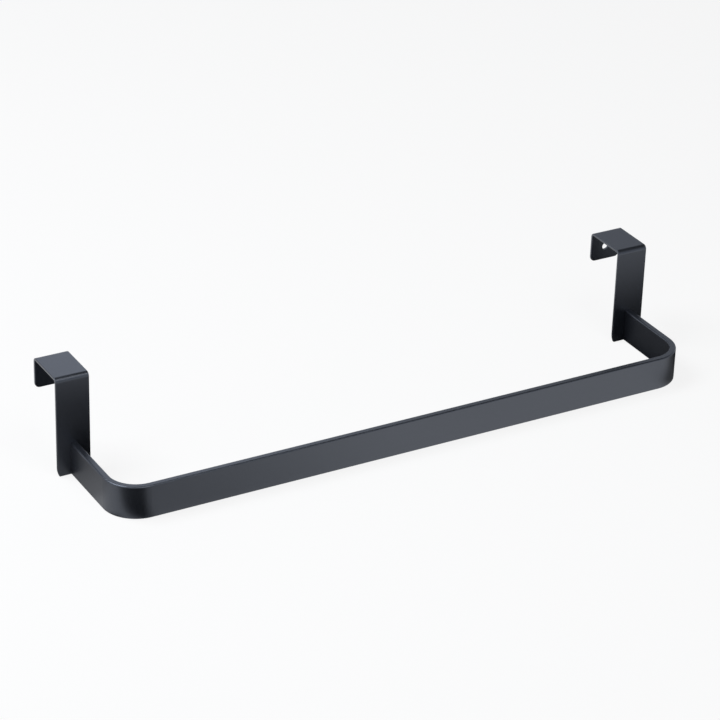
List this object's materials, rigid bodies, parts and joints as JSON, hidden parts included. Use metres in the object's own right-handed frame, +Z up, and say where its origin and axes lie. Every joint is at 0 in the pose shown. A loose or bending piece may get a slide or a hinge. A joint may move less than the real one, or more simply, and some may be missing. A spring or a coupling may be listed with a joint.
{
  "type": "over-cabinet towel bar",
  "caption": "Black coated steel towel bar: a flat bar bent into a wide U, carried by folded strip hooks that hang over the top edge of a cabinet door.",
  "frame": {"origin": "bottom centre of the bounding box, level with the legs' ends and the bar's lower edge", "axes": "+X along the bar, +Y from the bar towards the inside of the cabinet, +Z up as it hangs"},
  "size_m": [0.385, 0.092, 0.061],
  "materials": {
    "black_powder_coat": "matte black powder coat with a fine texture, one coat over all the steel"
  },
  "bodies": {
    "root": {"left_hook": "black_powder_coat", "right_hook": "black_powder_coat", "towel_bar": "black_powder_coat"}
  },
  "joints": []
}
